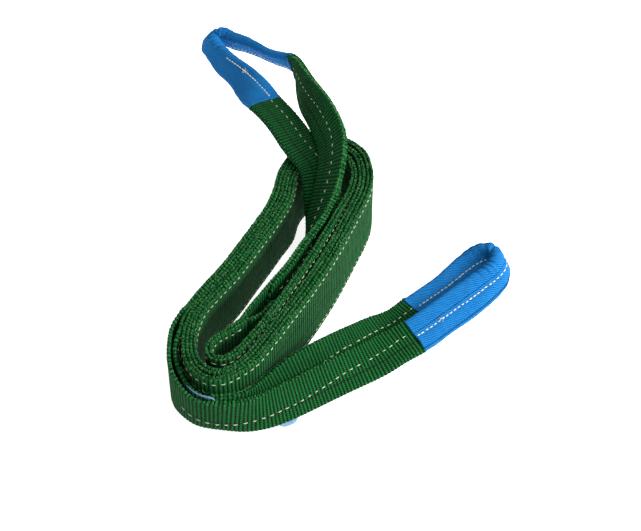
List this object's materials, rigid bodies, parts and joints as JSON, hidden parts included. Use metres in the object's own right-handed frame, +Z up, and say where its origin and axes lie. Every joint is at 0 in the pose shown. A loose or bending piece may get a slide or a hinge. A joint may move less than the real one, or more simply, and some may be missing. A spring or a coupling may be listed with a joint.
{
  "type": "flat web lifting sling",
  "caption": "Flat two-ply webbing sling with a folded soft eye at each end and wrapped wear sleeves, lying coiled on its edge.",
  "frame": {"origin": "on the resting plane, under the middle of the lying sling's bounding box", "axes": "+Z up, along the webbing's width in the coil; +Y towards the inner eye, away from the outer eye's leg; +X towards the outer eye's tip"},
  "size_m": [0.2821, 0.4231, 0.0839],
  "materials": {
    "webbing": "matt woven polyester",
    "sleeve": "matt twill polyester",
    "thread": "matt sewing thread",
    "label": "thin satin film"
  },
  "bodies": {
    "coil": {"body_inner_ply": "webbing", "body_outer_ply": "webbing", "body_seam_lower": "thread", "body_seam_upper": "thread", "lining_seam_lower": "thread", "lining_seam_upper": "thread", "outer_near_leg_root": "webbing", "outer_far_leg_root": "webbing", "outer_near_leg_root_seam": "thread", "inner_left_leg_root": "webbing", "inner_right_leg_root": "webbing", "label_leaf": "label"},
    "outer_legs": {"outer_near_leg": "webbing", "outer_far_leg": "webbing", "outer_near_leg_seam": "thread", "outer_far_leg_seam": "thread"},
    "outer_tip": {"outer_tip_webbing": "webbing", "outer_wear_sleeve": "sleeve", "outer_sleeve_near_seam": "thread", "outer_sleeve_far_seam": "thread"},
    "inner_eye": {"inner_eye_webbing": "webbing", "inner_wear_sleeve": "sleeve", "inner_left_leg_seam": "thread", "inner_right_leg_seam": "thread", "inner_sleeve_left_seam": "thread", "inner_sleeve_right_seam": "thread"}
  },
  "joints": [
    {"name": "outer_eye_swing", "type": "hinge", "parent": "coil", "child": "outer_legs", "pos_m": [-0.0118, -0.1782, 0.015], "axis": [0, 0, 1], "range_deg": [-20, 5]},
    {"name": "outer_eye_lift", "type": "hinge", "parent": "outer_legs", "child": "outer_tip", "pos_m": [0.0427, -0.1097, 0.021], "axis": [0.65, -0.76, 0], "range_deg": [0, 45]},
    {"name": "inner_eye_lift", "type": "hinge", "parent": "coil", "child": "inner_eye", "pos_m": [-0.0353, 0.0708, 0.0775], "axis": [0.9539, 0.3, 0], "range_deg": [0, 45]}
  ]
}
